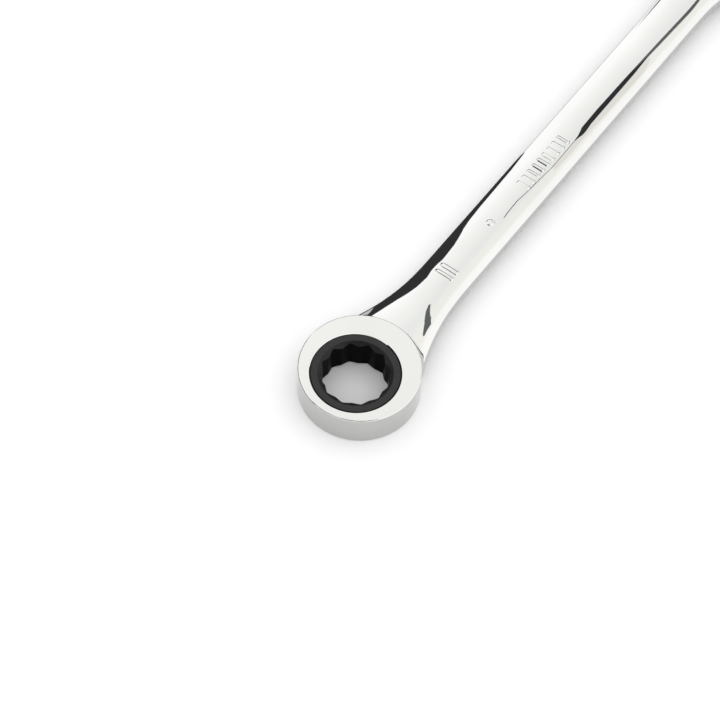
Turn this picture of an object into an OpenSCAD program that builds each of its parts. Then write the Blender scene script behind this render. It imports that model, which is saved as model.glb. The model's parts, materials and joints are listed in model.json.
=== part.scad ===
// Ratcheting combination wrench: a twelve-point ratchet ring at one end of a flat
// handle and an angled open jaw at the other.
// Frame: the origin is the gear's centre, half way up the ring. +X runs along the
// handle to the jaw, and +Z is the gear's axis. All sizes are in millimetres.

/* [Wrench] */
// Size of the fastener across its flats
across_flats = 17; // [16:0.1:17.3]
// Distance from the gear's axis to the middle of the open jaw
centre_distance = 200; // [170:1:230]

/* [Ring] */
// Outside diameter of the ring
ring_d = 34; // [34:0.2:38]
// Thickness of the ring
ring_t = 10.4; // [10.2:0.1:11.4]
// How far the ring's own centre lies from the gear's axis, towards the handle
ring_shift = 2.1; // [1.6:0.1:2.2]
// Radius of the curve that runs from the ring into the handle
ring_fillet_r = 70; // [60:1:100]

/* [Handle] */
// Width of the handle
handle_w = 14.6; // [12.6:0.2:16]
// Thickness of the handle
handle_t = 6.3; // [5.6:0.1:7]
// Radius of the handle's rounded sides
side_r = 5.5; // [5.4:0.1:6]

/* [Open jaw] */
// Width of the head that carries the jaw
jaw_head_d = 36; // [34:0.5:40]
// Thickness of that head
jaw_t = 7.8; // [7.2:0.1:9]
// Angle between the jaw and the handle, in degrees
jaw_angle = 15; // [0:1:20]
// Radius of the curve that runs from the handle into that head
jaw_fillet_r = 40; // [30:1:60]

/* [Ratchet] */
// Number of teeth on the gear
tooth_count = 72; // [60:12:84]
// Depth of a tooth
tooth_depth = 0.6; // [0.5:0.05:0.7]
// Metal between the socket's corners and the roots of the teeth
gear_wall = 2.8; // [2.6:0.1:2.9]
// How far the pawl backs away from the gear
pawl_travel = 0.8; // [0.75:0.05:0.85]
// Radial clearance of the gear's journals in the body and the washer
running_gap = 0.06; // [0.03:0.01:0.1]

/* [Hidden] */
$fn = 96;
overshoot = 1;                          // how far a cut runs past the metal that it cuts

ring_r = ring_d / 2;
ring_face_z = ring_t / 2;
rim_bevel = 0.4;                        // bevel on the ring's outer edges
boss_step = 0.3;                        // how far the ring's faces stand proud of the neck
handle_half_w = handle_w / 2;
handle_face_z = handle_t / 2;
joint_inset = 0.02;                     // the handle is this much slimmer than the necks it enters
jaw_head_r = jaw_head_d / 2;
jaw_face_z = jaw_t / 2;
jaw_bevel = 0.8;
jaw_step = 0.15;

fastener_gap = 0.1;                     // the socket and the jaw are this much over size
opening_af = across_flats + fastener_gap;
throat_gap = 0.2;                       // room past the corner of a hexagon
throat_depth = opening_af / 2 / cos(30) + throat_gap;   // from the jaw's middle to its bottom
tip_reach = 0.56 * across_flats;        // from the jaw's middle to its tips, along the jaw
tip_curve_r = 1.5 * across_flats;

// Gear: a toothed band between an upper and a lower journal
socket_corner_r = 0.575 * opening_af;   // the twelve corners are rounded off here
lead_in_margin = 0.5;
lead_in_r = socket_corner_r + lead_in_margin;
lead_in_depth = 1;
lead_in_slope = 1.5;
lead_in_turn = 7.5;                     // keeps the bevel's seam off the socket's own edges
root_r = across_flats / 2 / cos(30) + gear_wall;
tip_r = root_r + tooth_depth;
tooth_pitch = 360 / tooth_count;
tooth_rise = 0.80;                      // the teeth's shares of one pitch: the long
tooth_land = 0.88;                      // slope, the narrow top, and the steep side
tooth_drop = 0.97;
upper_shoulder = 0.2;                   // steps from the roots of the teeth to the journals
lower_shoulder = 0.4;
upper_journal_r = root_r - upper_shoulder;
lower_journal_r = root_r - lower_shoulder;
gear_inset = 0.05;                      // the gear's end faces lie this far inside the ring's
axial_gap = 0.1;
band_top = 3.3;
band_bottom = -2.7;

// Cavity in the ring, with the parts that close it from below
tip_gap = 0.15;
cavity_r = tip_r + tip_gap;
cavity_top = band_top + axial_gap;
washer_top = band_bottom - axial_gap;
washer_t = 0.6;
washer_bottom = washer_top - washer_t;
groove_depth = 0.55;
groove_r = cavity_r + groove_depth;
groove_gap = 0.05;                      // looseness of the snap ring in its groove
snap_t = 0.8;
groove_t = snap_t + groove_gap;
snap_outer_r = groove_r - groove_gap;
snap_clearance = 0.5;
snap_inner_r = lower_journal_r + snap_clearance;
snap_gap_angle = 24;
snap_gap_place = 205;

// Pawl: a block that slides along +X in a pocket behind the gear
pawl_half_w = 4.4;
pawl_half_h = 2.6;
pawl_length = 8;
pawl_back_x = root_r + pawl_length;
slide_gap = 0.08;
mesh_gap = 0.03;                        // between the pawl's teeth and the gear's
mesh_gap_angle = 0.15;
pocket_end_gap = 0.1;
pocket_back_x = pawl_back_x + pawl_travel + pocket_end_gap;
spring_bore_r = 1.25;
spring_bore_depth = 4.6;
spring_bore_bottom_x = pawl_back_x - spring_bore_depth;

// Spring and plunger in the pawl's blind bore
plunger_gap = 0.05;
plunger_r = spring_bore_r - plunger_gap;
plunger_entry = 1.6;                    // how far it reaches into the bore
plunger_x = pawl_back_x - plunger_entry;    // face that the spring bears on
plunger_dome_r = 1.6;
spring_wire_r = 0.17;
spring_gap = 0.08;
spring_coil_r = spring_bore_r - spring_wire_r - spring_gap;
spring_turns = 5;
steps_per_turn = 16;
wire_sides = 6;

// Raised marks on the handle
mark_proud = 0.2;
size_mark_x = 43;
size_mark_pitch = 2.6;
size_mark = [1.1, 5.4];
dot_mark_x = 64;
dot_mark_r = 1;
grip_bar_x = 80.5;                      // the first of a row of short bars
grip_bar_pitch = 2.5;
grip_bar_count = 9;
grip_bar = [1, 3.8];

// Distance from a head's centre to the handle's first full section, where a curve that touches
// the head's circle also touches the handle's side
function neck_run(head_r, fillet_r) =
    sqrt(pow(head_r + fillet_r, 2) - pow(handle_half_w + fillet_r, 2));

// A disc with bevelled rims
module bevelled_disc(r, half_t, bevel) {
    rotate_extrude()
        polygon([[0, -half_t], [r - bevel, -half_t], [r, bevel - half_t],
                 [r, half_t - bevel], [r - bevel, half_t], [0, half_t]]);
}

// The handle's section: flat faces between two rounded sides
module handle_section() {
    intersection() {
        square([handle_w - 2 * joint_inset, handle_t - 2 * joint_inset], center = true);
        union() {
            translate([handle_half_w - side_r, 0]) circle(side_r - joint_inset);
            translate([side_r - handle_half_w, 0]) circle(side_r - joint_inset);
        }
    }
}

// The metal between a head, whose centre is the origin, and the handle towards +X
module neck(head_r, fillet_r, face_z) {
    run = neck_run(head_r, fillet_r);
    tangent_share = head_r / (head_r + fillet_r);
    start_x = tangent_share * run + overshoot;
    start_y = tangent_share * (handle_half_w + fillet_r);
    rise = face_z - handle_face_z;
    face_curve_r = (pow(run - head_r, 2) + pow(rise, 2)) / 2 / rise;
    difference() {
        linear_extrude(2 * face_z, center = true)
            polygon([[start_x, -start_y], [run, -handle_half_w],
                     [run, handle_half_w], [start_x, start_y]]);
        for (side = [-1, 1]) {
            translate([run, side * (handle_half_w + fillet_r), 0])
                rotate_extrude($fn = 360)
                    side_cutter(fillet_r, face_z + overshoot);
            translate([run, 0, side * (handle_face_z + face_curve_r)])
                rotate([90, 0, 0])
                    cylinder(r = face_curve_r, h = 3 * head_r, center = true, $fn = 720);
        }
    }
}

// Section of the ring-shaped cut that leaves a neck's side with the handle's rounding
module side_cutter(fillet_r, half_h) {
    cut_depth = 5;
    difference() {
        translate([fillet_r - cut_depth, -half_h])
            square([cut_depth + side_r, 2 * half_h]);
        translate([fillet_r + side_r, 0])
            circle(side_r);
    }
}

module handle() {
    start_x = ring_shift + neck_run(ring_r, ring_fillet_r) - overshoot;
    end_x = centre_distance - neck_run(jaw_head_r, jaw_fillet_r) + overshoot;
    translate([start_x, 0, 0])
        rotate([90, 0, 90])
            linear_extrude(end_x - start_x)
                handle_section();
}

module jaw_blank() {
    intersection() {
        bevelled_disc(jaw_head_r, jaw_face_z, jaw_bevel);
        rotate([0, 0, jaw_angle])
            translate([tip_reach - tip_curve_r, 0, 0])
                cylinder(r = tip_curve_r, h = 2 * jaw_t, center = true);
    }
}

// Two parallel flats that run out of a round throat
module jaw_slot() {
    throat_r = opening_af / 2;
    throat_x = throat_r - throat_depth;
    rotate([0, 0, jaw_angle])
        linear_extrude(2 * jaw_t, center = true) {
            translate([throat_x, 0])
                circle(throat_r);
            translate([throat_x, -throat_r])
                square([jaw_head_d, opening_af]);
        }
}

// The ring's bore: the mouth under the top flange, the gear's room and the snap ring's groove
module gear_cavity() {
    mouth_r = upper_journal_r + running_gap;
    rotate_extrude()
        polygon([[0, -ring_face_z - overshoot], [cavity_r, -ring_face_z - overshoot],
                 [cavity_r, washer_bottom - groove_t], [groove_r, washer_bottom - groove_t],
                 [groove_r, washer_bottom], [cavity_r, washer_bottom],
                 [cavity_r, cavity_top], [mouth_r, cavity_top],
                 [mouth_r, ring_face_z + overshoot], [0, ring_face_z + overshoot]]);
}

module pawl_pocket() {
    half_w = pawl_half_w + slide_gap;
    half_h = pawl_half_h + slide_gap;
    translate([root_r - overshoot, -half_w, -half_h])
        cube([pocket_back_x - root_r + overshoot, 2 * half_w, 2 * half_h]);
}

// Plain raised marks: two bars, a dot and a row of short bars
module raised_marks() {
    depth = 1;
    translate([0, 0, handle_face_z - depth])
        linear_extrude(depth + mark_proud) {
            for (side = [-0.5, 0.5])
                translate([size_mark_x + side * size_mark_pitch, 0])
                    square(size_mark, center = true);
            translate([dot_mark_x, 0])
                circle(dot_mark_r);
            for (i = [0 : grip_bar_count - 1])
                translate([grip_bar_x + i * grip_bar_pitch, 0])
                    square(grip_bar, center = true);
        }
}

module wrench_body() {
    color("gainsboro")
        difference() {
            union() {
                translate([ring_shift, 0, 0]) {
                    bevelled_disc(ring_r, ring_face_z, rim_bevel);
                    neck(ring_r, ring_fillet_r, ring_face_z - boss_step);
                }
                handle();
                raised_marks();
                translate([centre_distance, 0, 0]) {
                    jaw_blank();
                    mirror([1, 0, 0])
                        neck(jaw_head_r, jaw_fillet_r, jaw_face_z - jaw_step);
                }
            }
            gear_cavity();
            pawl_pocket();
            translate([centre_distance, 0, 0])
                jaw_slot();
        }
}

function polar(r, angle) = [r * cos(angle), r * sin(angle)];

// One tooth that starts at an angle: a long slope, a narrow top and a steep side
function tooth(angle) = [
    polar(root_r, angle),
    polar(tip_r, angle + tooth_rise * tooth_pitch),
    polar(tip_r, angle + tooth_land * tooth_pitch),
    polar(root_r, angle + tooth_drop * tooth_pitch)
];

// The twelve-point socket: two hexagons, with their corners cut by a circle
module socket_outline() {
    hexagon_r = opening_af / 2 / cos(30);
    intersection() {
        circle(socket_corner_r);
        union() {
            for (turn = [15, 45])
                rotate(turn) circle(hexagon_r, $fn = 6);
        }
    }
}

module ratchet_gear() {
    end_z = ring_face_z - gear_inset;
    color([0.12, 0.12, 0.13])
        difference() {
            union() {
                translate([0, 0, band_bottom])
                    linear_extrude(band_top - band_bottom)
                        polygon([for (i = [0 : tooth_count - 1]) each tooth(i * tooth_pitch)]);
                translate([0, 0, band_top - overshoot])
                    cylinder(r = upper_journal_r, h = end_z - band_top + overshoot);
                translate([0, 0, -end_z])
                    cylinder(r = lower_journal_r, h = end_z + band_bottom + overshoot);
            }
            linear_extrude(2 * ring_t, center = true)
                socket_outline();
            for (side = [0, 1])
                mirror([0, 0, side])
                    translate([0, 0, end_z - lead_in_depth])
                        rotate(lead_in_turn)
                            cylinder(r1 = lead_in_r - lead_in_slope * lead_in_depth,
                                     r2 = lead_in_r + lead_in_slope * lead_in_depth,
                                     h = 2 * lead_in_depth);
        }
}

// The room that one gear tooth needs in the pawl, from full mesh to clear of it
function tooth_room(angle) =
    let (low = polar(root_r + mesh_gap, angle - mesh_gap_angle),
         peak = polar(tip_r + mesh_gap, angle + tooth_rise * tooth_pitch - mesh_gap_angle),
         land = polar(tip_r + mesh_gap, angle + tooth_land * tooth_pitch + mesh_gap_angle),
         foot = polar(root_r + mesh_gap, angle + tooth_drop * tooth_pitch + mesh_gap_angle),
         inside_x = root_r - 3 * overshoot)
    foot.y > land.y
        ? [[inside_x, low.y], low, peak, land, foot, [inside_x, foot.y]]
        : [[inside_x, low.y], low, peak, land, [inside_x, land.y]];

module pawl() {
    span = ceil(asin(pawl_half_w / root_r) / tooth_pitch);
    color("slategray")
        difference() {
            linear_extrude(2 * pawl_half_h, center = true)
                difference() {
                    translate([root_r - overshoot, -pawl_half_w])
                        square([pawl_length + overshoot, 2 * pawl_half_w]);
                    circle(root_r + mesh_gap);
                    for (i = [-span - 1 : span])
                        polygon(tooth_room(i * tooth_pitch));
                }
            translate([spring_bore_bottom_x, 0, 0])
                rotate([0, 90, 0])
                    cylinder(r = spring_bore_r, h = pawl_back_x);
        }
}

// A round wire on a helix along +X between the bore's bottom and the plunger
module pawl_spring() {
    start_x = spring_bore_bottom_x + spring_wire_r;
    rise = plunger_x - spring_wire_r - start_x;
    steps = spring_turns * steps_per_turn;
    points = [for (i = [0 : steps], j = [0 : wire_sides - 1])
        let (turn = 360 * i / steps_per_turn,
             around = 360 * j / wire_sides,
             r = spring_coil_r + spring_wire_r * cos(around))
        [start_x + rise * i / steps + spring_wire_r * sin(around), r * cos(turn), r * sin(turn)]];
    sides = [for (i = [0 : steps - 1], j = [0 : wire_sides - 1])
        let (next = (j + 1) % wire_sides)
        [i * wire_sides + j, i * wire_sides + next,
         (i + 1) * wire_sides + next, (i + 1) * wire_sides + j]];
    first_end = [for (j = [wire_sides - 1 : -1 : 0]) j];
    last_end = [for (j = [0 : wire_sides - 1]) steps * wire_sides + j];
    color("lightsteelblue")
        polyhedron(points, concat([first_end, last_end], sides), convexity = 10);
}

// A pin with a domed head that bears on the pocket's back wall
module spring_plunger() {
    dome_length = plunger_dome_r - sqrt(pow(plunger_dome_r, 2) - pow(plunger_r, 2));
    length = pocket_back_x - plunger_x;
    color("silver")
        translate([plunger_x, 0, 0])
            rotate([0, 90, 0])
                rotate_extrude()
                    intersection() {
                        square([plunger_r, length]);
                        union() {
                            square([plunger_r, length - dome_length]);
                            translate([0, length - plunger_dome_r])
                                circle(plunger_dome_r);
                        }
                    }
}

module cover_washer() {
    color("gray")
        translate([0, 0, washer_bottom])
            difference() {
                cylinder(r = cavity_r - running_gap, h = washer_t);
                translate([0, 0, -overshoot])
                    cylinder(r = lower_journal_r + running_gap, h = washer_t + 2 * overshoot);
            }
}

// An open spring ring that snaps into the groove and holds the washer and the gear in
module snap_ring() {
    color("dimgray")
        translate([0, 0, washer_bottom - snap_t])
            rotate([0, 0, snap_gap_place + snap_gap_angle / 2])
                rotate_extrude(angle = 360 - snap_gap_angle)
                    translate([snap_inner_r, 0])
                        square([snap_outer_r - snap_inner_r, snap_t]);
}

wrench_body();
ratchet_gear();
pawl();
pawl_spring();
spring_plunger();
cover_washer();
snap_ring();
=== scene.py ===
"""Looks of a ratcheting combination wrench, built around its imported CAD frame.

The frame's origin is the gear's centre, half way up the ring. +X runs along the handle to
the open jaw, and +Z is the gear's axis. Lengths are in metres.
"""
import json
import math

import bmesh
import bpy
import numpy as np
from mathutils import Matrix, Vector


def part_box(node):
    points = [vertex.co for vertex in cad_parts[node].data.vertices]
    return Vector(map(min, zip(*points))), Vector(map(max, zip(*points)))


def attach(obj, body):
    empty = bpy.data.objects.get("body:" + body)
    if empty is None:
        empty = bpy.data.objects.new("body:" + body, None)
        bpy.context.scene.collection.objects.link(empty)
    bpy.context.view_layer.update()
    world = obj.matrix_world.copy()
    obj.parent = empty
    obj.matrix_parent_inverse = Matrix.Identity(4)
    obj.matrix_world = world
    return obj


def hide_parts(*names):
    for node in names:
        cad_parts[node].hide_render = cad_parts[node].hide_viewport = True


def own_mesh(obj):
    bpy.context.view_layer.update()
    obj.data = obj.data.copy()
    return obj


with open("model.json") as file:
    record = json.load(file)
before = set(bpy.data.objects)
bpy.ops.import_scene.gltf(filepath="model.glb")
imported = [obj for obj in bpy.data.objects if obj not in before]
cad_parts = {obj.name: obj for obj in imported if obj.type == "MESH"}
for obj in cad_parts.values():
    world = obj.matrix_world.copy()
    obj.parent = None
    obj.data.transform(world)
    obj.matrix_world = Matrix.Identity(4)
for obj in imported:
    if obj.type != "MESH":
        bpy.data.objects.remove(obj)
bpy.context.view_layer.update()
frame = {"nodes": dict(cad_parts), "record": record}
MM = 0.001


# ---------------------------------------------------------------- sizes from the frame

body_points = np.array([v.co for v in frame["nodes"]["wrench_body"].data.vertices])
body_lo, body_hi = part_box("wrench_body")
gear_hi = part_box("ratchet_gear")[1]
pawl_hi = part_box("pawl")[1]
spring_lo, spring_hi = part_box("pawl_spring")
plunger_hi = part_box("spring_plunger")[1]
washer_lo, washer_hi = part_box("cover_washer")
snap_lo, snap_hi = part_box("snap_ring")
mounts = {m["name"]: m for m in frame["record"]["mounts"]}

JAW_X = mounts["jaw_opening"]["pos_m"][0]
near_ring = body_points[body_points[:, 0] < 0.1 * JAW_X]
near_jaw = body_points[body_points[:, 0] > 0.95 * JAW_X]
RING_R = float(abs(near_ring[:, 1]).max())
RING_X = body_lo.x + RING_R
RING_FACE = body_hi.z
JAW_R = float(abs(near_jaw[:, 1]).max())
JAW_FACE = float(near_jaw[:, 2].max())

ACROSS_FLATS = 17 * MM
OPENING = ACROSS_FLATS + 0.1 * MM       # width of the jaw and of the socket
HANDLE_HALF_W = 7.3 * MM
HANDLE_HALF_T = 3.15 * MM
RING_FILLET = 70 * MM                   # radius of the curve from the ring into the handle
JAW_FILLET = 40 * MM
JAW_ANGLE = math.radians(15)


# ---------------------------------------------------------------- mesh helpers

class MeshBuilder:
    """Collects grids and faces, and joins the points that they share."""

    def __init__(self):
        self.points = []
        self.faces = []
        self.count = 0

    def add_points(self, points):
        points = np.asarray(points, float).reshape(-1, 3)
        first = self.count
        self.points.append(points)
        self.count += len(points)
        return first

    def grid(self, points, wrap=False, flip=False):
        """Quads over points[row, column]. wrap joins the last column to the first."""
        rows, columns = points.shape[:2]
        index = np.arange(rows * columns).reshape(rows, columns) + self.add_points(points)
        if wrap:
            index = np.hstack([index, index[:, :1]])
        a, b = index[:-1, :-1], index[:-1, 1:]
        c, d = index[1:, 1:], index[1:, :-1]
        order = (a, d, c, b) if flip else (a, b, c, d)
        self.faces.extend(np.stack(order, -1).reshape(-1, 4).tolist())

    def polygon(self, points, flip=False):
        """One flat face with any number of corners."""
        first = self.add_points(points)
        corners = list(range(first, self.count))
        self.faces.append(corners[::-1] if flip else corners)

    def build(self, name, sharp_degrees=32, weighted=True):
        """The finished object: closed, welded, smooth except at sharp edges."""
        mesh = bpy.data.meshes.new(name)
        mesh.from_pydata(np.vstack(self.points).tolist(), [], self.faces)
        bm = bmesh.new()
        bm.from_mesh(mesh)
        bmesh.ops.remove_doubles(bm, verts=bm.verts, dist=1e-6)
        bmesh.ops.dissolve_degenerate(bm, edges=bm.edges, dist=1e-7)
        bmesh.ops.recalc_face_normals(bm, faces=bm.faces)
        limit = math.radians(sharp_degrees)
        for edge in bm.edges:
            edge.smooth = len(edge.link_faces) == 2 and edge.calc_face_angle(0) < limit
        for face in bm.faces:
            face.smooth = True
        open_edges = sum(1 for edge in bm.edges if len(edge.link_faces) != 2)
        print(f"{name}: {len(bm.faces)} faces, {open_edges} open edges")
        bm.to_mesh(mesh)
        bm.free()
        made = bpy.data.objects.new(name, mesh)
        bpy.context.scene.collection.objects.link(made)
        if weighted:
            modifier = made.modifiers.new("face_weights", "WEIGHTED_NORMAL")
            modifier.keep_sharp = True
            modifier.weight = 60
        return made


def circle(radius, angles, z):
    """Points on a level circle about the Z axis. Each value may be one number or an array."""
    x = radius * np.cos(angles)
    y = radius * np.sin(angles)
    return np.stack([x, y, np.broadcast_to(z, x.shape)], -1)


def smooth_step(t):
    """From 0 to 1, level at both ends."""
    t = np.clip(t, 0, 1)
    return t * t * (3 - 2 * t)


def soft_ramp(d, softness):
    """Zero below d = 0 and d above it, with a rounded corner."""
    return softness * np.logaddexp(0, d / softness)


def arc_rise(d, radius):
    """How far a circle has risen from its lowest point at a distance d beside it."""
    return radius - np.sqrt(radius * radius - d * d)


# ---------------------------------------------------------------- shape of the forging

RIM = 0.42 * MM                         # rounding of the ring's and the jaw head's edges
STEP = 0.1 * MM                         # wall between that rounding and the neck's top
SOFT = 3 * MM                           # softening where the handle's curves start
NECK_FILLET = 2.2 * MM                  # largest height of the blend between a neck and its head
FILLET_ROOM = 0.85                      # share of the head's wall that the blend may take up


def neck_run(head_r, fillet):
    """From a head's centre to the first full section of the handle."""
    return math.sqrt((head_r + fillet) ** 2 - (HANDLE_HALF_W + fillet) ** 2)


RING_RUN = neck_run(RING_R, RING_FILLET)
JAW_RUN = neck_run(JAW_R, JAW_FILLET)
HANDLE_START = RING_X + RING_RUN
HANDLE_END = JAW_X - JAW_RUN
RING_TOUCH = RING_X + RING_R * RING_RUN / (RING_R + RING_FILLET)
JAW_TOUCH = JAW_X - JAW_R * JAW_RUN / (JAW_R + JAW_FILLET)


def face_curve(head_r, run, face):
    """Radius of the curve in side view from the handle's thickness up to a head's."""
    rise = face - RIM - STEP - HANDLE_HALF_T
    reach = run - head_r
    return (reach * reach + rise * rise) / 2 / rise


RING_FACE_CURVE = face_curve(RING_R, RING_RUN, RING_FACE)
JAW_FACE_CURVE = face_curve(JAW_R, JAW_RUN, JAW_FACE)


def half_width(x):
    """Half the width of the handle and its necks at x."""
    to_ring = soft_ramp(HANDLE_START - x, SOFT)
    to_jaw = soft_ramp(x - HANDLE_END, SOFT)
    return HANDLE_HALF_W + arc_rise(to_ring, RING_FILLET) + arc_rise(to_jaw, JAW_FILLET)


def half_thickness(x):
    """Half the thickness of the handle and its necks at x, along the middle of the top face."""
    to_ring = soft_ramp(HANDLE_START - x, SOFT)
    to_jaw = soft_ramp(x - HANDLE_END, SOFT)
    return HANDLE_HALF_T + arc_rise(to_ring, RING_FACE_CURVE) + arc_rise(to_jaw, JAW_FACE_CURVE)


CROWN = (0.3, 0.3)                      # drop of the crown: shares of y squared and y to the fourth
EDGE_POWER = 60                         # the higher, the tighter the corner between crown and side


def bare_height(x, y):
    """Half thickness at a point, with no fillets and no marks: a crown, then a steep side."""
    share = np.clip(np.abs(y) / half_width(x), 0, 1)
    crown = 1 - CROWN[0] * share ** 2 - CROWN[1] * share ** 4
    return half_thickness(x) * crown * np.sqrt(1 - share ** EDGE_POWER)


def wall_fillet(x, y, height, head_x, head_r, face):
    """Extra height of the blend from the neck up to a head's round wall."""
    share = np.clip(np.abs(y) / half_width(x), 0, 1)
    room = np.clip(face - RIM - height, 0, None) * FILLET_ROOM
    most = NECK_FILLET * (1 - share ** 8)
    radius = np.minimum(room, most) + 1e-9
    away = np.clip(np.hypot(x - head_x, y) - head_r, 0, radius)
    return radius - np.sqrt(radius ** 2 - (radius - away) ** 2)


def height_at(x, y):
    """Height of the top face, with the fillets and without the marks."""
    height = bare_height(x, y)
    return (height + wall_fillet(x, y, height, RING_X, RING_R, RING_FACE)
            + wall_fillet(x, y, height, JAW_X, JAW_R, JAW_FACE))


# Raised marks on the top face: two bars, a dot and a row of short bars
MARK_PROUD = 0.26 * MM
MARK_EDGE = 0.36 * MM                   # width of the slope round a mark
MARK_CORNER = 0.3 * MM
SIZE_BARS_X = (41.7 * MM, 44.3 * MM)
SIZE_BAR_HALF = (0.55 * MM, 2.7 * MM)
DOT_X = 64 * MM
DOT_R = 1.0 * MM
GRIP_BARS_X = [(80.5 + 2.5 * i) * MM for i in range(9)]
GRIP_BAR_HALF = (0.5 * MM, 1.9 * MM)


def rounded_bar(x, y, centre, half, corner):
    """Distance outside a bar with round corners; negative inside it."""
    dx = np.abs(x - centre[0]) - half[0] + corner
    dy = np.abs(y - centre[1]) - half[1] + corner
    outside = np.hypot(np.maximum(dx, 0), np.maximum(dy, 0))
    return outside + np.minimum(np.maximum(dx, dy), 0) - corner


def mark_height(x, y):
    """Height of the raised marks at a point, from its distance outside the nearest one."""
    bars = [(bar_x, SIZE_BAR_HALF) for bar_x in SIZE_BARS_X]
    bars += [(bar_x, GRIP_BAR_HALF) for bar_x in GRIP_BARS_X]
    distance = np.hypot(x - DOT_X, y) - DOT_R
    for bar_x, half in bars:
        bar = rounded_bar(x, y, (bar_x, 0), half, MARK_CORNER)
        distance = np.minimum(distance, bar)
    return MARK_PROUD * smooth_step(0.5 - distance / MARK_EDGE)


# ---------------------------------------------------------------- the forged body

CROWN_ROWS = 72                         # across the handle's crown
EDGE_ROWS = 14                          # down each side of it
CROWN_SHARE = 0.9                       # of the half width
FREE_COLUMNS = 120                      # round the ring, outside its neck
MARKS_FROM = 40 * MM                    # the stretch of the handle with the finest columns
MARKS_TO = 104 * MM
PLAIN_TO = HANDLE_END - 4 * MM
CLOSER = 1.7                            # power that draws the columns together at a head
WALL_ROWS = 6
ROUND_ROWS = 6


def circle_crossing(share, low, high, head_x, head_r):
    """Where the line at a share of the half width meets a head's circle, by bisection from low,
    inside the circle, to high, outside it."""
    low = np.full(share.shape, low)
    high = np.full(share.shape, high)
    for _ in range(60):
        middle = (low + high) / 2
        outside = (middle - head_x) ** 2 + (half_width(middle) * share) ** 2 > head_r ** 2
        high = np.where(outside, middle, high)
        low = np.where(outside, low, middle)
    return (low + high) / 2


def section_shares():
    """Places across the handle, as shares of the half width, close together at the corners."""
    crown = np.linspace(-CROWN_SHARE, CROWN_SHARE, CROWN_ROWS + 1)
    first = math.asin(CROWN_SHARE ** (EDGE_POWER / 2))
    edge = np.sin(np.linspace(first, math.pi / 2, EDGE_ROWS + 1)[1:]) ** (2 / EDGE_POWER)
    return np.concatenate([-edge[::-1], crown, edge])


def handle_grid():
    """Points over the top face of both necks and the handle, [column along x, row across]."""
    share = section_shares()
    start = circle_crossing(np.abs(share), RING_TOUCH, RING_X + RING_R, RING_X, RING_R)
    end = circle_crossing(np.abs(share), JAW_TOUCH, JAW_X - JAW_R, JAW_X, JAW_R)
    start[[0, -1]] = RING_TOUCH
    end[[0, -1]] = JAW_TOUCH
    ring_part = np.linspace(0, 1, 60)[:-1, None] ** CLOSER
    marks_part = np.linspace(MARKS_FROM, MARKS_TO, 236)[:-1, None]
    plain_part = np.linspace(MARKS_TO, PLAIN_TO, 40)[:-1, None]
    jaw_part = 1 - np.linspace(1, 0, 50)[:, None] ** CLOSER
    x = np.vstack([
        start + (MARKS_FROM - start) * ring_part,
        np.broadcast_to(marks_part, (len(marks_part), len(share))),
        np.broadcast_to(plain_part, (len(plain_part), len(share))),
        PLAIN_TO + (end - PLAIN_TO) * jaw_part,
    ])
    y = half_width(x) * share
    z = height_at(x, y)
    z[:, [0, -1]] = 0
    return np.stack([x, y, z], -1)


def mirrored(points):
    """The same points below the middle plane."""
    return points * np.array([1, 1, -1])


def rim_rows(outline, normals, low, face):
    """Rows of a head's edge: the wall from low upwards, and the rounding into its flat face."""
    wall_top = face - RIM
    rows = []
    for k in range(WALL_ROWS):
        z = low + (wall_top - low) * k / WALL_ROWS
        rows.append(np.column_stack([outline, z]))
    for k in range(ROUND_ROWS + 1):
        angle = math.pi / 2 * k / ROUND_ROWS
        inset = RIM * (1 - math.cos(angle))
        z = np.full(len(outline), wall_top + RIM * math.sin(angle))
        rows.append(np.column_stack([outline - normals * inset, z]))
    return np.stack(rows)


# Clearances round the ratchet's parts in the ring
POCKET_GAP = 0.08 * MM
CAVITY_GAP = 0.06 * MM
BAND_GAP = 0.1 * MM
GROOVE_GAP = 0.05 * MM
MOUTH_LAP = 0.74 * MM                   # how far the mouth's lip reaches over the gear's teeth
MOUTH_EDGE = 0.18 * MM


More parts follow.
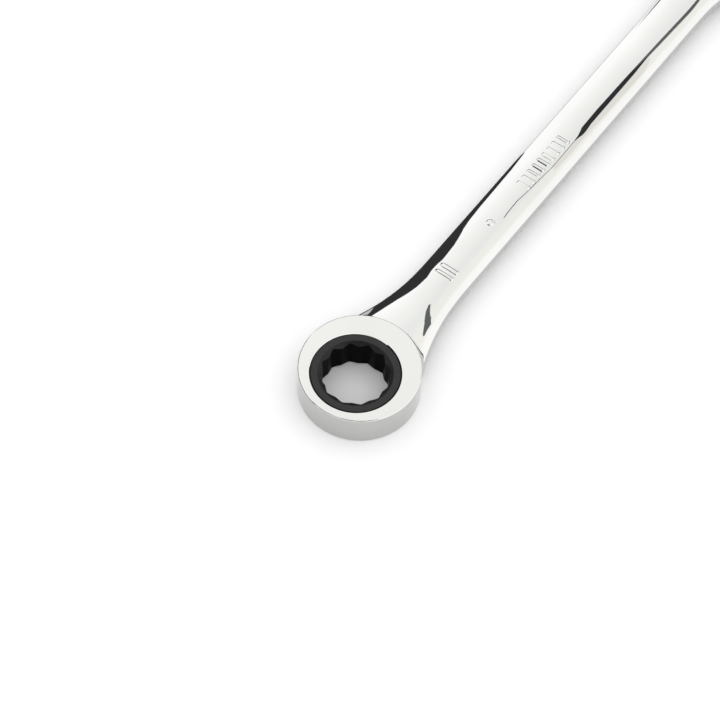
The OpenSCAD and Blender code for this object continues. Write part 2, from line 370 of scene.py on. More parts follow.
def build_ring(builder, neck_end):
    """The ring: neck_end holds the points where the neck's top face meets it."""
    neck_angles = np.arctan2(neck_end[:, 1], neck_end[:, 0] - RING_X)
    free = np.linspace(neck_angles[-1], neck_angles[0] + 2 * math.pi, FREE_COLUMNS + 1)[1:-1]
    angles = np.concatenate([neck_angles, free])
    low = np.concatenate([neck_end[:, 2], np.zeros(len(free))])
    normals = np.column_stack([np.cos(angles), np.sin(angles)])
    outline = normals * RING_R + np.array([RING_X, 0])
    rim = rim_rows(outline, normals, low, RING_FACE)
    builder.grid(rim, wrap=True)
    builder.grid(mirrored(rim), wrap=True, flip=True)

    # The cavity's columns, with one on each edge of the pawl's pocket
    pocket_y = pawl_hi.y + POCKET_GAP
    pocket_z = pawl_hi.z + POCKET_GAP
    cavity_r = washer_hi.y + CAVITY_GAP
    pocket_angle = math.asin(pocket_y / cavity_r)
    right = int(np.argmin(abs(angles + pocket_angle)))
    left = int(np.argmin(abs(angles - pocket_angle)))
    bore_angles = angles.copy()
    bore_angles[right] = -pocket_angle
    bore_angles[left] = pocket_angle

    mouth_r = gear_hi.y - MOUTH_LAP
    cavity_top = gear_band_top() + BAND_GAP
    groove_r = snap_hi.y + GROOVE_GAP
    groove_floor = snap_lo.z - GROOVE_GAP
    profile = [
        (mouth_r + MOUTH_EDGE, RING_FACE), (mouth_r, RING_FACE - MOUTH_EDGE), (mouth_r, cavity_top),
        (cavity_r, cavity_top), (cavity_r, pocket_z), (cavity_r, -pocket_z),
        (cavity_r, washer_lo.z), (groove_r, washer_lo.z), (groove_r, groove_floor),
        (cavity_r, groove_floor), (cavity_r, MOUTH_EDGE - RING_FACE),
        (cavity_r + MOUTH_EDGE, -RING_FACE),
    ]
    bore = np.stack([circle(r, bore_angles, z) for r, z in profile])
    builder.grid(np.stack([rim[-1], bore[0]]), wrap=True)
    builder.grid(bore[:5], wrap=True)
    builder.grid(bore[5:], wrap=True)
    builder.grid(np.stack([bore[-1], mirrored(rim[-1])]), wrap=True)
    around = np.roll(bore[4:6], -left, axis=1)
    pocket_columns = (right - left) % len(angles)
    builder.grid(around[:, :pocket_columns + 1])

    # The pocket: floor, ceiling, two sides and a back
    mouth = bore[4, right:left + 1]
    back_x = plunger_hi.x
    back = np.array([[back_x, pocket_y, pocket_z], [back_x, -pocket_y, pocket_z]])
    builder.polygon(np.vstack([mouth, back]))
    builder.polygon(mirrored(np.vstack([mouth, back])), flip=True)
    for corner, end in ((mouth[0], back[1]), (mouth[-1], back[0])):
        builder.polygon([corner, end, end * [1, 1, -1], corner * [1, 1, -1]])
    builder.polygon([back[0], back[1], back[1] * [1, 1, -1], back[0] * [1, 1, -1]])


def gear_band_top():
    """Height of the top of the gear's toothed band, from its widest points."""
    points = np.array([v.co for v in frame["nodes"]["ratchet_gear"].data.vertices])
    wide = np.hypot(points[:, 0], points[:, 1]) > gear_hi.y - 0.1 * MM
    return float(points[wide, 2].max())


def cut_corner(before, after, reach, steps=8):
    """Two runs of points that meet at a corner, joined by a curve that starts at reach from it."""
    corner = before[-1]
    before = before[np.linalg.norm(before - corner, axis=1) > reach]
    after = after[np.linalg.norm(after - corner, axis=1) > reach]
    start = corner + (before[-1] - corner) / np.linalg.norm(before[-1] - corner) * reach
    end = corner + (after[0] - corner) / np.linalg.norm(after[0] - corner) * reach
    t = np.linspace(0, 1, steps + 1)[:, None]
    curve = (1 - t) ** 2 * start + 2 * t * (1 - t) * corner + t ** 2 * end
    return np.vstack([before, curve]), after


def run_of_arc(centre, radius, first, last, spacing):
    """Points along an arc, evenly spaced, with both its ends."""
    count = max(3, int(abs(last - first) * radius / spacing))
    angles = np.linspace(first, last, count + 1)
    return centre + radius * np.column_stack([np.cos(angles), np.sin(angles)])


JAW_SPACING = 0.35 * MM                 # between the outline's points
TIP_REACH = 0.56 * ACROSS_FLATS         # from the jaw's centre to its tips
TIP_R = 1.5 * ACROSS_FLATS              # of the flat curve across the tips
SHOULDER_CUT = 2.6 * MM                 # rounding where the head's circle meets that curve
TIP_CUT = 1.5 * MM                      # rounding of the tips' inner corners


def jaw_outline():
    """Outline of the open head in its own frame, from its right touching point with the neck
    round the jaw to the left one, in the plane of the head."""
    throat_r = OPENING / 2
    throat_x = throat_r - (throat_r / math.cos(math.pi / 6) + 0.2 * MM)
    tip_centre = TIP_REACH - TIP_R
    shoulder_x = (JAW_R ** 2 - TIP_R ** 2 + tip_centre ** 2) / 2 / tip_centre
    shoulder = math.acos(shoulder_x / JAW_R)
    tip_shoulder = math.atan2(JAW_R * math.sin(shoulder), shoulder_x - tip_centre)
    tip_end = math.asin(throat_r / TIP_R)
    tip_x = tip_centre + TIP_R * math.cos(tip_end)
    touch = math.acos((JAW_TOUCH - JAW_X) / JAW_R)
    middle = np.array([0.0, 0.0])
    tip_middle = np.array([tip_centre, 0.0])
    flat_count = int((tip_x - throat_x) / JAW_SPACING)
    flat_x = np.linspace(tip_x, throat_x, flat_count + 1)
    right_flat = np.column_stack([flat_x, np.full(flat_count + 1, -throat_r)])
    quarter = math.pi / 2
    throat = run_of_arc(np.array([throat_x, 0.0]), throat_r, -quarter, -3 * quarter, JAW_SPACING)
    outline = run_of_arc(middle, JAW_R, -touch - JAW_ANGLE, -shoulder, JAW_SPACING)
    runs = [
        (run_of_arc(tip_middle, TIP_R, -tip_shoulder, -tip_end, JAW_SPACING), SHOULDER_CUT),
        (right_flat, TIP_CUT),
        (throat, None),
        (right_flat[::-1] * [1, -1], None),
        (run_of_arc(tip_middle, TIP_R, tip_end, tip_shoulder, JAW_SPACING), TIP_CUT),
        (run_of_arc(middle, JAW_R, shoulder, touch - JAW_ANGLE, JAW_SPACING), SHOULDER_CUT),
    ]
    for run, cut in runs:
        if cut:
            outline, run = cut_corner(outline, run, cut)
        else:
            run = run[1:]
        outline = np.vstack([outline, run])
    turn = np.array([[math.cos(JAW_ANGLE), math.sin(JAW_ANGLE)],
                     [-math.sin(JAW_ANGLE), math.cos(JAW_ANGLE)]])
    return outline @ turn + np.array([JAW_X, 0])


def build_jaw(builder, neck_end):
    """The open head: neck_end holds the points where the neck's top face meets it."""
    free = jaw_outline()
    arc = neck_end[::-1]
    outline = np.vstack([free[1:-1], arc[:, :2]])
    low = np.concatenate([np.zeros(len(free) - 2), arc[:, 2]])
    along = free[2:] - free[:-2]
    along /= np.linalg.norm(along, axis=1)[:, None]
    from_middle = (arc[:, :2] - [JAW_X, 0]) / JAW_R
    normals = np.vstack([np.column_stack([along[:, 1], -along[:, 0]]), from_middle])
    rim = rim_rows(outline, normals, low, JAW_FACE)
    builder.grid(rim, wrap=True)
    builder.grid(mirrored(rim), wrap=True, flip=True)
    builder.polygon(rim[-1])
    builder.polygon(mirrored(rim[-1]), flip=True)


def make_body():
    """The one-piece forging. The marks are on its top face only."""
    builder = MeshBuilder()
    top = handle_grid()
    marked = top.copy()
    marked[..., 2] += mark_height(top[..., 0], top[..., 1])
    builder.grid(marked)
    builder.grid(mirrored(top), flip=True)
    build_ring(builder, top[0])
    build_jaw(builder, top[-1])
    return builder.build("forged_body")


# ---------------------------------------------------------------- the ratchet gear

TEETH = 72
TOOTH_DEPTH = 0.6 * MM
SOCKET_CORNER = 0.575 * OPENING         # from the axis to one of the twelve corners
CREST_ROUNDING = math.radians(1.2)      # of the points that touch the nut
CORNER_ROUNDING = 0.14 * MM
UPPER_STEP = 0.8 * MM                   # from the teeth in to the band above them
LOWER_STEP = 1.0 * MM                   # from the teeth in to the band below them
LEAD_IN = 0.5 * MM                      # of the cone at each end of the socket
LEAD_IN_SLOPE = 1.5


def socket_profile(angles):
    """Radius of the bore at each angle: straight sides, rounded crests and rounded corners."""
    point = math.pi / 6
    from_crest = np.abs((np.asarray(angles) + point / 2) % point - point / 2)
    softened = np.sqrt(from_crest ** 2 + CREST_ROUNDING ** 2)
    side = OPENING / 2 / np.cos(math.pi / 12 + softened)
    return SOCKET_CORNER - soft_ramp(SOCKET_CORNER - side, CORNER_ROUNDING)


def tooth_profile():
    """Angles and radii of the toothed rim, six points to a tooth."""
    pitch = 2 * math.pi / TEETH
    tip = gear_hi.y
    root = tip - TOOTH_DEPTH
    shares = np.array([0.0, 0.4, 0.8, 0.88, 0.925, 0.97])
    radii = np.array([root, (root + tip) / 2, tip, tip, (root + tip) / 2, root])
    angles = (np.arange(TEETH)[:, None] * pitch + shares * pitch).ravel()
    return angles, np.tile(radii, TEETH)


def make_gear():
    builder = MeshBuilder()
    rim_angles, rim_radii = tooth_profile()
    angles = np.arange(len(rim_angles)) * 2 * math.pi / len(rim_angles)
    top = gear_hi.z
    band_top = gear_band_top()
    band_low = washer_hi.z + 0.1 * MM
    upper_r = gear_hi.y - UPPER_STEP
    lower_r = gear_hi.y - LOWER_STEP
    edge = 0.25 * MM
    bore = socket_profile(angles)
    lead_in_r = SOCKET_CORNER + LEAD_IN
    cone_z = top - (lead_in_r - bore) / LEAD_IN_SLOPE
    rows = [
        circle(bore, angles, -cone_z), circle(bore, angles, cone_z),
        circle(lead_in_r, angles, top), circle(upper_r - edge, angles, top),
        circle(upper_r, angles, top - edge), circle(upper_r, angles, band_top),
        circle(rim_radii, rim_angles, band_top), circle(rim_radii, rim_angles, band_low),
        circle(lower_r, angles, band_low), circle(lower_r, angles, edge - top),
        circle(lower_r - edge, angles, -top), circle(lead_in_r, angles, -top),
        circle(bore, angles, -cone_z),
    ]
    builder.grid(np.stack(rows), wrap=True)
    return builder.build("gear_ring", sharp_degrees=28)


# ---------------------------------------------------------------- the pawl's spring

def make_spring():
    """A round wire coil with closed ends, between the pawl's bore and the plunger."""
    wire = 0.17 * MM                    # the wire's own radius
    coil_r = spring_hi.y - wire
    start = spring_lo.x + wire
    length = spring_hi.x - spring_lo.x - 2 * wire
    turns, steps, sides = 6.5, 36, 12
    count = int(turns * steps)
    share = np.arange(count + 1) / count
    closed = 1.0 / turns
    pitch_share = np.clip((share - closed) / (1 - 2 * closed), 0, 1)
    first_share = np.clip(share / closed, 0, 1)
    last_share = np.clip((share - 1 + closed) / closed, 0, 1)
    lie = 0.9 * 2 * wire / length       # share of the length that one closed turn takes up
    x = start + length * (lie * first_share + (1 - 2 * lie) * pitch_share + lie * last_share)
    turn = 2 * math.pi * turns * share
    around = 2 * math.pi * np.arange(sides) / sides
    r = coil_r + wire * np.cos(around)[None, :]
    points = np.stack([
        x[:, None] + wire * np.sin(around)[None, :],
        r * np.cos(turn)[:, None],
        r * np.sin(turn)[:, None],
    ], -1)
    builder = MeshBuilder()
    builder.grid(points, wrap=True)
    builder.polygon(points[0])
    builder.polygon(points[-1], flip=True)
    return builder.build("coil_spring", weighted=False)


# ---------------------------------------------------------------- the parts that close the ring

def flat_ring_section(r_in, r_out, z_low, z_high, corner, steps=4):
    """Section of a flat ring with rounded corners, as (radius, z) points."""
    section = []
    corners = ((r_out, z_high, 0), (r_in, z_high, 90), (r_in, z_low, 180), (r_out, z_low, 270))
    for r, z, first in corners:
        middle_r = r + (corner if r == r_in else -corner)
        middle_z = z + (corner if z == z_low else -corner)
        for k in range(steps + 1):
            angle = math.radians(first + 90 * k / steps)
            section.append((middle_r + corner * math.cos(angle), middle_z + corner * math.sin(angle)))
    return section


def polar_points(node):
    """Radius and angle of each point of a CAD node, about the gear's axis."""
    points = np.array([v.co for v in frame["nodes"][node].data.vertices])
    return np.hypot(points[:, 0], points[:, 1]), np.arctan2(points[:, 1], points[:, 0])


def make_washer():
    """A pressed washer: the die rounds its edges over."""
    inner_r = float(polar_points("cover_washer")[0].min())
    section = flat_ring_section(inner_r, washer_hi.y, washer_lo.z, washer_hi.z, 0.12 * MM)
    angles = np.linspace(0, 2 * math.pi, 145)[:-1]
    rows = [circle(r, angles, z) for r, z in section]
    builder = MeshBuilder()
    builder.grid(np.stack(rows + rows[:1]), wrap=True)
    return builder.build("pressed_washer", sharp_degrees=50)


def make_snap_ring():
    """A ring of flat spring wire, open between two rounded ends."""
    corner = 0.16 * MM
    radii, angles = polar_points("snap_ring")
    around = np.sort(angles % (2 * math.pi))
    widest = int(np.argmax(np.diff(around)))
    first = around[widest + 1]
    last = around[widest] + 2 * math.pi
    inner_r, outer_r = float(radii.min()), snap_hi.y
    leans = np.linspace(0, math.pi / 2, 5)
    end = [(corner * (1 - math.cos(lean)) / outer_r, corner * (1 - math.sin(lean))) for lean in leans]
    stations = [(first + turn, inset) for turn, inset in end]
    stations += [(angle, 0.0) for angle in np.linspace(first, last, 140)[1:-1]]
    stations += [(last - turn, inset) for turn, inset in reversed(end)]
    rows = []
    for angle, inset in stations:
        section = flat_ring_section(inner_r + inset, outer_r - inset, snap_lo.z + inset,
                                    snap_hi.z - inset, max(corner - inset, 0.1 * corner))
        rows.append([(r * math.cos(angle), r * math.sin(angle), z) for r, z in section])
    builder = MeshBuilder()
    builder.grid(np.array(rows), wrap=True)
    builder.polygon(rows[0])
    builder.polygon(rows[-1], flip=True)
    return builder.build("snap_clip", sharp_degrees=50)


# ---------------------------------------------------------------- materials

def new_material(name):
    """A material with nodes: the material, its nodes and links, and its shader."""
    material = bpy.data.materials.new(name)
    material.use_nodes = True
    nodes = material.node_tree.nodes
    return material, nodes, material.node_tree.links, nodes["Principled BSDF"]


def noise(nodes, links, scale, detail=4.0, stretch=(1, 1, 1)):
    """A noise texture in the object's own metres, stretched along an axis."""
    place = nodes.new("ShaderNodeTexCoord")
    mapping = nodes.new("ShaderNodeMapping")
    mapping.inputs["Scale"].default_value = stretch
    texture = nodes.new("ShaderNodeTexNoise")
    texture.inputs["Scale"].default_value = scale
    texture.inputs["Detail"].default_value = detail
    links.new(place.outputs["Object"], mapping.inputs["Vector"])
    links.new(mapping.outputs["Vector"], texture.inputs["Vector"])
    return texture.outputs["Fac"]


def ranged(nodes, links, value, low, high, from_low=0.3, from_high=0.7):
    """Maps a texture's value to a range."""
    node = nodes.new("ShaderNodeMapRange")
    node.inputs["From Min"].default_value = from_low
    node.inputs["From Max"].default_value = from_high
    node.inputs["To Min"].default_value = low
    node.inputs["To Max"].default_value = high
    links.new(value, node.inputs["Value"])
    return node.outputs["Result"]


def math_node(nodes, links, operation, a, b):
    """One sum on two values, each a number or another node's output."""
    node = nodes.new("ShaderNodeMath")
    node.operation = operation
    for i, value in enumerate((a, b)):
        if isinstance(value, (int, float)):
            node.inputs[i].default_value = value
        else:
            links.new(value, node.inputs[i])
    return node.outputs["Value"]


def tinted(nodes, links, value, first, second):
    """A colour between two, by a value from 0 to 1."""
    ramp = nodes.new("ShaderNodeMix")
    ramp.data_type = "RGBA"
    ramp.inputs["A"].default_value = (*first, 1)
    ramp.inputs["B"].default_value = (*second, 1)
    links.new(value, ramp.inputs["Factor"])
    return ramp.outputs["Result"]


def bumped(nodes, links, shader, value, strength, distance):
    """Fine relief of the surface from a texture's value."""
    node = nodes.new("ShaderNodeBump")
    node.inputs["Strength"].default_value = strength
    node.inputs["Distance"].default_value = distance
    links.new(value, node.inputs["Height"])
    links.new(node.outputs["Normal"], shader.inputs["Normal"])


def chrome_material():
    """Bright plating with faint scuffs and a slight ripple."""
    material, nodes, links, shader = new_material("polished_chrome")
    shader.inputs["Metallic"].default_value = 1
    tone = noise(nodes, links, 60, 3)
    links.new(tinted(nodes, links, ranged(nodes, links, tone, 0, 1),
                     (0.51, 0.509, 0.502), (0.53, 0.528, 0.520)), shader.inputs["Base Color"])
    scuffs = noise(nodes, links, 500, 6, (0.25, 1, 1))
    rough = ranged(nodes, links, scuffs, 0.012, 0.032)
    links.new(rough, shader.inputs["Roughness"])
    ripple = noise(nodes, links, 140, 1.5, (0.6, 1, 1))
    bumped(nodes, links, shader, ripple, 0.10, 0.02 * MM)
    return material


def black_oxide_material():
    """Blackened steel with painted light: its turned faces that look along the axis get a painted
    sheen, a little brighter and more reflective than the bore, and the bore's walls get painted
    shade.
    """
    material, nodes, links, shader = new_material("black_oxide")
    mottle = noise(nodes, links, 700, 5)
    facing = nodes.new("ShaderNodeNewGeometry")
    parts = nodes.new("ShaderNodeSeparateXYZ")
    links.new(facing.outputs["Normal"], parts.inputs["Vector"])
    level = math_node(nodes, links, "ABSOLUTE", parts.outputs["Z"], 0)
    # painted light: 1 on faces square to the axis, down to 0.15 on the walls, which gives the walls
    # painted shade
    painted_facing_light = ranged(nodes, links, level, 0.15, 1, 0.5, 0.95)
    colour = tinted(nodes, links, ranged(nodes, links, mottle, 0, 1),
                    (0.010, 0.0096, 0.010), (0.015, 0.0142, 0.0147))
    # painted shade: the colour is darkened on the walls by the facing factor
    painted_shade_mix = nodes.new("ShaderNodeMix")
    painted_shade_mix.data_type = "RGBA"
    painted_shade_mix.blend_type = "MULTIPLY"
    painted_shade_mix.inputs["Factor"].default_value = 1
    links.new(colour, painted_shade_mix.inputs["A"])
    links.new(painted_facing_light, painted_shade_mix.inputs["B"])
    links.new(painted_shade_mix.outputs["Result"], shader.inputs["Base Color"])
    # painted sheen: the faces reflect more than the walls
    links.new(ranged(nodes, links, painted_facing_light, 1.08, 1.33, 0.15, 1), shader.inputs["IOR"])
    links.new(ranged(nodes, links, mottle, 0.34, 0.44), shader.inputs["Roughness"])
    turned = turning_rings(nodes, links, 0.35 * MM)
    grain = math_node(nodes, links, "MULTIPLY", noise(nodes, links, 3500, 3), 0.5)
    bumped(nodes, links, shader, math_node(nodes, links, "ADD", turned, grain), 0.35, 0.02 * MM)
    return material


def turning_rings(nodes, links, pitch):
    """The lathe's fine rings round the Z axis, as a height from 0 to 1."""
    place = nodes.new("ShaderNodeTexCoord")
    level = nodes.new("ShaderNodeVectorMath")
    level.operation = "MULTIPLY"
    level.inputs[1].default_value = (1, 1, 0)
    links.new(place.outputs["Object"], level.inputs[0])
    length = nodes.new("ShaderNodeVectorMath")
    length.operation = "LENGTH"
    links.new(level.outputs["Vector"], length.inputs[0])
    turns = math_node(nodes, links, "MULTIPLY", length.outputs["Value"], 2 * math.pi / pitch)
    wave = math_node(nodes, links, "SINE", turns, 0)
    return ranged(nodes, links, wave, 0, 1, -1, 1)


def steel_material(name, dark, light, rough, grain):
    """Plain steel with a directional grain."""
    material, nodes, links, shader = new_material(name)
    shader.inputs["Metallic"].default_value = 1
    streaks = noise(nodes, links, 1500, 5, grain)
    links.new(tinted(nodes, links, ranged(nodes, links, streaks, 0, 1), dark, light),
              shader.inputs["Base Color"])
    links.new(ranged(nodes, links, streaks, rough - 0.08, rough + 0.1), shader.inputs["Roughness"])
    bumped(nodes, links, shader, streaks, 0.2, 0.01 * MM)
    return material


def white_material(name, brightness):
    """A matt, even white."""
    material, _, _, shader = new_material(name)
    shader.inputs["Base Color"].default_value = (brightness, brightness, brightness, 1)
    shader.inputs["Roughness"].default_value = 0.9
    shader.inputs["Specular IOR Level"].default_value = 0.0
    return material


def glow_material(name, colour, strength):
    """A card that gives off an even tone of its own."""
    material, _, _, shader = new_material(name)
    shader.inputs["Base Color"].default_value = (0, 0, 0, 1)
    shader.inputs["Specular IOR Level"].default_value = 0.0
    shader.inputs["Emission Color"].default_value = (*colour, 1)
    shader.inputs["Emission Strength"].default_value = strength
    return material


def wear(piece, material):
    """Gives a piece one material."""
    piece.data.materials.clear()
    piece.data.materials.append(material)


# ---------------------------------------------------------------- the object

forged_body = make_body()
gear_ring = make_gear()
coil_spring = make_spring()
pressed_washer = make_washer()
snap_clip = make_snap_ring()

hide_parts("wrench_body")
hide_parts("ratchet_gear")
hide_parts("pawl_spring")
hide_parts("cover_washer")
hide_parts("snap_ring")
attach(forged_body, "wrench")
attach(gear_ring, "gear")
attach(coil_spring, "wrench")
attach(pressed_washer, "wrench")
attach(snap_clip, "wrench")
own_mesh(coil_spring)

wear(forged_body, chrome_material())
wear(gear_ring, black_oxide_material())
spring_steel = steel_material("spring_steel", (0.42, 0.43, 0.45), (0.55, 0.56, 0.58), 0.28, (1, 1, 1))
tool_steel = steel_material("tool_steel", (0.30, 0.31, 0.33), (0.42, 0.43, 0.45), 0.34, (0.15, 1, 1))
dark_steel = steel_material("dark_steel", (0.07, 0.07, 0.075), (0.13, 0.13, 0.135), 0.42, (1, 1, 0.3))
wear(coil_spring, spring_steel)
wear(pressed_washer, dark_steel)
wear(snap_clip, dark_steel)
for node in ("pawl", "spring_plunger"):
    wear(frame["nodes"][node], tool_steel)


# ---------------------------------------------------------------- stage, camera and light

VIEW_AZIMUTH = math.radians(-56.8)
VIEW_ELEVATION = math.radians(58.4)
VIEW_ROLL = math.radians(3.7)
DISTANCE = 0.70
FRAME_WIDTH = 194.6 * MM                # width of the picture at the ring
AIM_RIGHT = 1.19 * MM                   # the picture's middle, from the middle of the ring's face
AIM_UP = 3.45 * MM
SENSOR = 36.0
FLOOR_HALF = 3.0
FLAG_DISTANCE = 0.20
FAR = 4.0
CEILING = 0.15
BEAM_HALF = 1.7 * MM


def card(name, corners, material, only_reflected=True):
    """A flat card of any outline. A flag or reflector is only seen as a reflection in the chrome."""
    mesh = bpy.data.meshes.new(name)
    mesh.from_pydata([tuple(c) for c in corners], [], [tuple(range(len(corners)))])
    made = bpy.data.objects.new(name, mesh)
    bpy.context.scene.collection.objects.link(made)
    made.data.materials.append(material)
    if only_reflected:
        made.visible_camera = False
        made.visible_diffuse = False
        made.visible_shadow = False
    return made


def make_floor():
    """A white floor under the wrench."""
    signs = ((-1, -1), (1, -1), (1, 1), (-1, 1))
    corners = [(a * FLOOR_HALF, b * FLOOR_HALF, body_lo.z) for a, b in signs]
    card("floor", corners, white_material("pale_floor", 0.93), only_reflected=False)


def towards(heading, elevation, distance):
    """A point seen from the origin at a heading (0 is +X) and an elevation, in degrees."""
    heading, elevation = math.radians(heading), math.radians(elevation)
    level = math.cos(elevation) * distance
    return Vector((level * math.cos(heading), level * math.sin(heading),
                   distance * math.sin(elevation)))


def far_outline(directions, distance):
    """Corners of a far flat card from the directions in which they are seen."""
    rays = [towards(heading, elevation, 1) for heading, elevation in directions]
    middle = sum(rays, Vector()).normalized()
    return [ray * (distance / ray.dot(middle)) for ray in rays]


def upright(heading, distance, outline):
    """Corners of an upright card square to a heading; the outline is (towards its left, height)."""
    turn = math.radians(heading)
    out = Vector((math.cos(turn), math.sin(turn), 0)) * distance
    left = Vector((-math.sin(turn), math.cos(turn), 0))
    return [out + left * aside + Vector((0, 0, height)) for aside, height in outline]


def make_side_flags(dark, grey):
    """Flags on the handle's left: side_flag and floor_flag put the dark strip along its shoulder,
    rim_flag and left_flag darken the ring's left rim, and neck_shade softens the strip's end."""
    ground = body_lo.z
    edge = [(-0.070, ground), (-0.070, 0.026), (-0.066, 0.043), (-0.058, 0.054), (-0.052, 0.061),
            (-0.049, 0.076), (-0.051, 0.097), (-0.057, 0.123), (-0.063, 0.150), (-0.063, 0.167),
            (-0.054, 0.151), (-0.018, 0.150), (-0.018, ground)]
    side = upright(57, FLAG_DISTANCE, edge)
    card("side_flag", side, dark)
    rim = [(0.06, ground), (0.06, 0.14), (-0.045, 0.14), (-0.045, ground)]
    card("rim_flag", upright(77, FLAG_DISTANCE, rim), dark)
    foot = ground + 0.5 * MM
    near = [(0.092, 0.0105), (0.045, 0.0105), (0.030, 0.0135), (0.018, 0.022), (0.018, 0.050),
            (0.060, 0.120)]
    near += [(side[-1].x, side[-1].y), (side[0].x, side[0].y)]
    card("floor_flag", [(x, y, foot) for x, y in near], dark)
    shade = [(-0.0175, ground), (0.006, ground), (0.006, 0.04), (-0.0175, 0.04)]
    card("neck_shade", upright(57, 0.06, shade), grey)
    wall = [(-0.25, ground), (0.3, ground), (0.3, 0.22), (-0.12, 0.22)]
    card("left_flag", upright(110, 0.35, wall), dark)


def make_far_gaps(leaf, dark):
    """Far gaps: one mirrored in the neck's right side, one along the horizon."""
    gap = [(13, 53.4), (8, 52.3), (1, 51.1), (-7.4, 48.7), (-13, 45.6), (-18, 41.8), (-21, 40.2),
           (-21.5, 42.4), (-23.5, 43.6), (-14, 49.4), (0, 52.9), (10, 54)]
    card("far_gap", far_outline(gap, FAR), leaf)
    horizon = [(-30, 0), (10, 0), (52, 0), (52, 14), (10, 14), (-30, 14)]
    card("horizon_gap", far_outline(horizon, FAR), dark)


def make_ceiling(dark, dim):
    """A low beam with a gap at its end, mirrored along the handle, and a dim panel beside them."""
    beam = [(0.155, 0.018), (0.158, 0.022), (0.1645, 0.0238), (0.169, 0.0161), (0.175, 0.0103),
            (0.182, 0.0011), (0.190, 0.0020), (0.197, 0.0030)]
    gap = [(0.2005, 0.010), (0.2045, 0.022), (0.215, 0.024), (0.235, 0.020), (0.246, 0.002),
           (0.235, -0.004), (0.207, -0.005), (0.2035, -0.012), (0.2015, -0.012), (0.199, -0.003)]
    outline = [(x, y + BEAM_HALF) for x, y in beam] + gap
    outline += [(x, y - BEAM_HALF) for x, y in reversed(beam)]
    card("ceiling_gap", [(x, y, CEILING) for x, y in outline], dark)
    panel = [(0.183, 0.001), (0.190, 0.002), (0.197, 0.003), (0.207, -0.005), (0.246, -0.006),
             (0.246, -0.060), (0.213, -0.0447), (0.2056, -0.0355), (0.1964, -0.0396),
             (0.1905, -0.0373), (0.184, -0.030)]
    card("dim_panel", [(x, y, CEILING + MM) for x, y in panel], dim)


def facing_disc(centre, radius):
    """Outline of a disc that faces the origin."""
    back = centre.normalized()
    right = back.cross(Vector((0, 0, 1))).normalized()
    up = right.cross(back)
    turns = [math.radians(15 * k) for k in range(24)]
    return [centre + (right * math.cos(t) + up * math.sin(t)) * radius for t in turns]


def make_dark_discs(dark):
    """Two dark discs, mirrored in small edges: one on the ring's side, one round the camera."""
    card("left_dark", facing_disc(towards(156, 45, 0.9), 0.27), dark)
    to_camera = towards(math.degrees(VIEW_AZIMUTH) - 90, math.degrees(VIEW_ELEVATION), 0.9)
    card("camera_dark", facing_disc(to_camera, 0.36), dark)


def make_flags():
    """Dark and grey flags that give the chrome its streaks."""
    dark = glow_material("dark_flag", (0.055, 0.055, 0.058), 1.0)
    make_side_flags(dark, glow_material("grey_flag", (0.95, 0.95, 0.93), 1.0))
    make_far_gaps(glow_material("gap_flag", (0.21, 0.22, 0.225), 1.0), dark)
    make_ceiling(dark, glow_material("dim_flag", (1.42, 1.39, 1.32), 1.0))
    make_dark_discs(dark)


def view_axes(azimuth, elevation):
    """Right, up and back of a camera that looks along +Y at azimuth 0."""
    back = Vector((math.sin(azimuth) * math.cos(elevation),
                   -math.cos(azimuth) * math.cos(elevation), math.sin(elevation)))
    right = Vector((math.cos(azimuth), math.sin(azimuth), 0))
    return right, back.cross(right), back


def make_camera():
    """The camera, high on the ring's side, looking along the handle."""
    right, up, back = view_axes(VIEW_AZIMUTH, VIEW_ELEVATION)
    turn = Matrix.Rotation(VIEW_ROLL, 3, back)
    right, up = turn @ right, turn @ up
    camera = bpy.data.cameras.new("camera")
    camera.sensor_width = SENSOR
    camera.lens = camera.sensor_width * DISTANCE / FRAME_WIDTH
    camera.clip_start, camera.clip_end = 0.01, 20
    made = bpy.data.objects.new("camera", camera)
    bpy.context.scene.collection.objects.link(made)
    aim = Vector((0, 0, RING_FACE)) + right * AIM_RIGHT + up * AIM_UP
    axes = Matrix((right, up, back)).transposed().to_4x4()
    made.matrix_world = Matrix.Translation(aim + back * DISTANCE) @ axes
    bpy.context.scene.camera = made


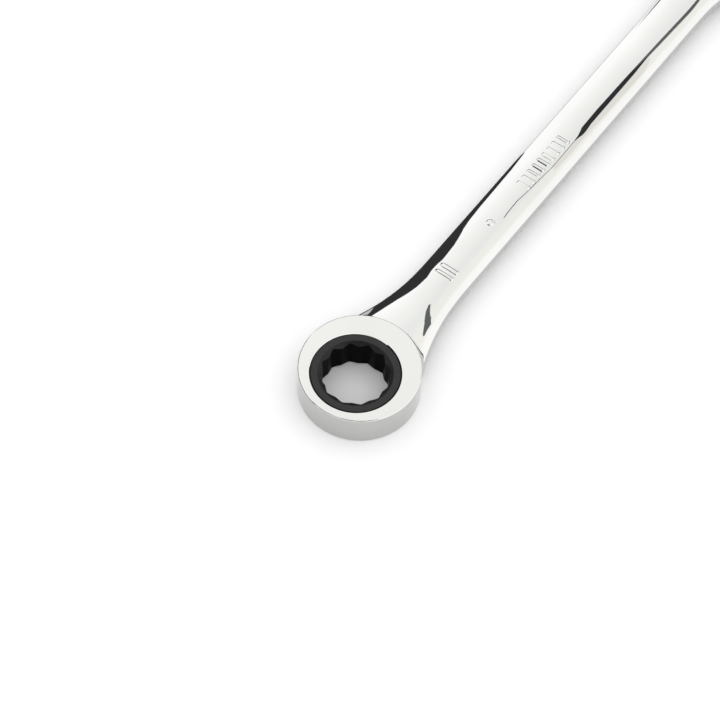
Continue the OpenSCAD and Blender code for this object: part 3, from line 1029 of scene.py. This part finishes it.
# The studio's walls from right to left: sideways part of the direction, and colour
WALLS = (
    (-0.80, (1.00, 1.00, 1.01)),
    (-0.40, (0.98, 0.98, 0.97)),
    (-0.27, (0.89, 0.89, 0.85)),
    (-0.04, (0.88, 0.88, 0.84)),
    (0.03, (0.85, 0.855, 0.84)),
    (0.14, (0.83, 0.845, 0.845)),
    (0.29, (0.90, 0.90, 0.885)),
    (0.60, (1.02, 1.025, 1.03)),
)
WALL_LEVEL = 0.95
ROOM_LIGHT = 1.16                       # what lights the floor
MIRROR = 0.52                           # what chrome gives back; the walls make up for it


def make_world():
    """White light all round; the chrome mirrors walls whose tone changes from side to side."""
    world = bpy.data.worlds.new("studio")
    world.use_nodes = True
    nodes, links = world.node_tree.nodes, world.node_tree.links
    place = nodes.new("ShaderNodeTexCoord")
    parts = nodes.new("ShaderNodeSeparateXYZ")
    links.new(place.outputs["Generated"], parts.inputs["Vector"])
    sideways = ranged(nodes, links, parts.outputs["Y"], 0, 1, -1, 1)
    walls = nodes.new("ShaderNodeValToRGB")
    stops = walls.color_ramp.elements
    while len(stops) < len(WALLS):
        stops.new(0.5)
    for stop, (place_y, colour) in zip(stops, WALLS):
        stop.position = (place_y + 1) / 2
        stop.color = (*(part * WALL_LEVEL for part in colour), 1)
    links.new(sideways, walls.inputs["Fac"])
    path = nodes.new("ShaderNodeLightPath")
    mixed = nodes.new("ShaderNodeMix")
    mixed.data_type = "RGBA"
    links.new(path.outputs["Is Glossy Ray"], mixed.inputs["Factor"])
    mixed.inputs["A"].default_value = (ROOM_LIGHT, ROOM_LIGHT, ROOM_LIGHT, 1)
    bright = nodes.new("ShaderNodeVectorMath")
    bright.operation = "SCALE"
    bright.inputs["Scale"].default_value = 1 / MIRROR
    links.new(walls.outputs["Color"], bright.inputs[0])
    links.new(bright.outputs["Vector"], mixed.inputs["B"])
    links.new(mixed.outputs["Result"], nodes["Background"].inputs["Color"])
    bpy.context.scene.world = world


def make_key():
    """A broad soft light from the right, which thins the shadow beside the handle."""
    light = bpy.data.lights.new("key", "AREA")
    light.shape = "DISK"
    light.size = 0.5
    light.energy = 0.25
    made = bpy.data.objects.new("key", light)
    bpy.context.scene.collection.objects.link(made)
    made.location = towards(-50, 62, 0.9)
    made.rotation_euler = made.location.to_track_quat("Z", "Y").to_euler()
    made.visible_glossy = False
    made.visible_camera = False


make_floor()
make_flags()
make_key()
make_camera()
make_world()
bpy.context.scene.view_settings.view_transform = "Standard"
